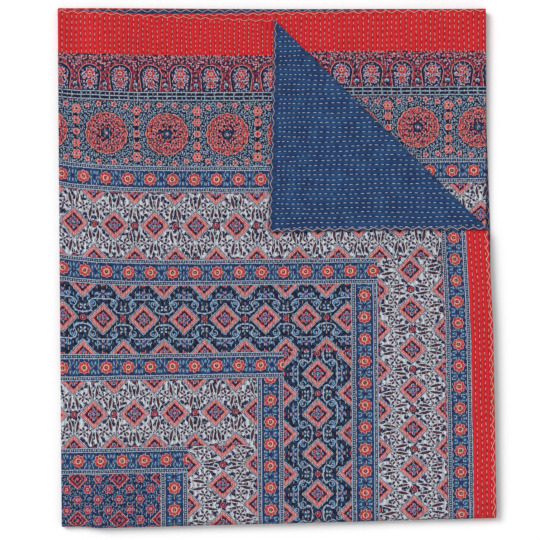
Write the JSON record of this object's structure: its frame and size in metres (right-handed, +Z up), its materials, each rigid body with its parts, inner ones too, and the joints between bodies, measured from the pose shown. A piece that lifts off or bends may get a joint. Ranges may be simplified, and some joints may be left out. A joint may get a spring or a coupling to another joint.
{
  "type": "folded quilt",
  "caption": "Block-printed cotton quilt folded to a flat stack, printed side up, with its top corner turned back to show the plain stitched backing.",
  "frame": {"origin": "middle of the underside of the folded quilt's box", "axes": "+X across the folded quilt to its open side edge, +Y up the folded quilt from the lower fold to the open ends, +Z up, away from the surface it lies on"},
  "size_m": [0.9724, 1.1618, 0.0302],
  "materials": {
    "printed_cotton": "plain-weave cotton, block-printed in navy, light blue, pink and maroon with a red border, hand-quilted",
    "indigo_cotton": "plain-weave cotton dyed indigo, hand-quilted in pale thread"
  },
  "bodies": {
    "root": {"printed_face": "printed_cotton", "blue_backing": "indigo_cotton"}
  },
  "joints": []
}
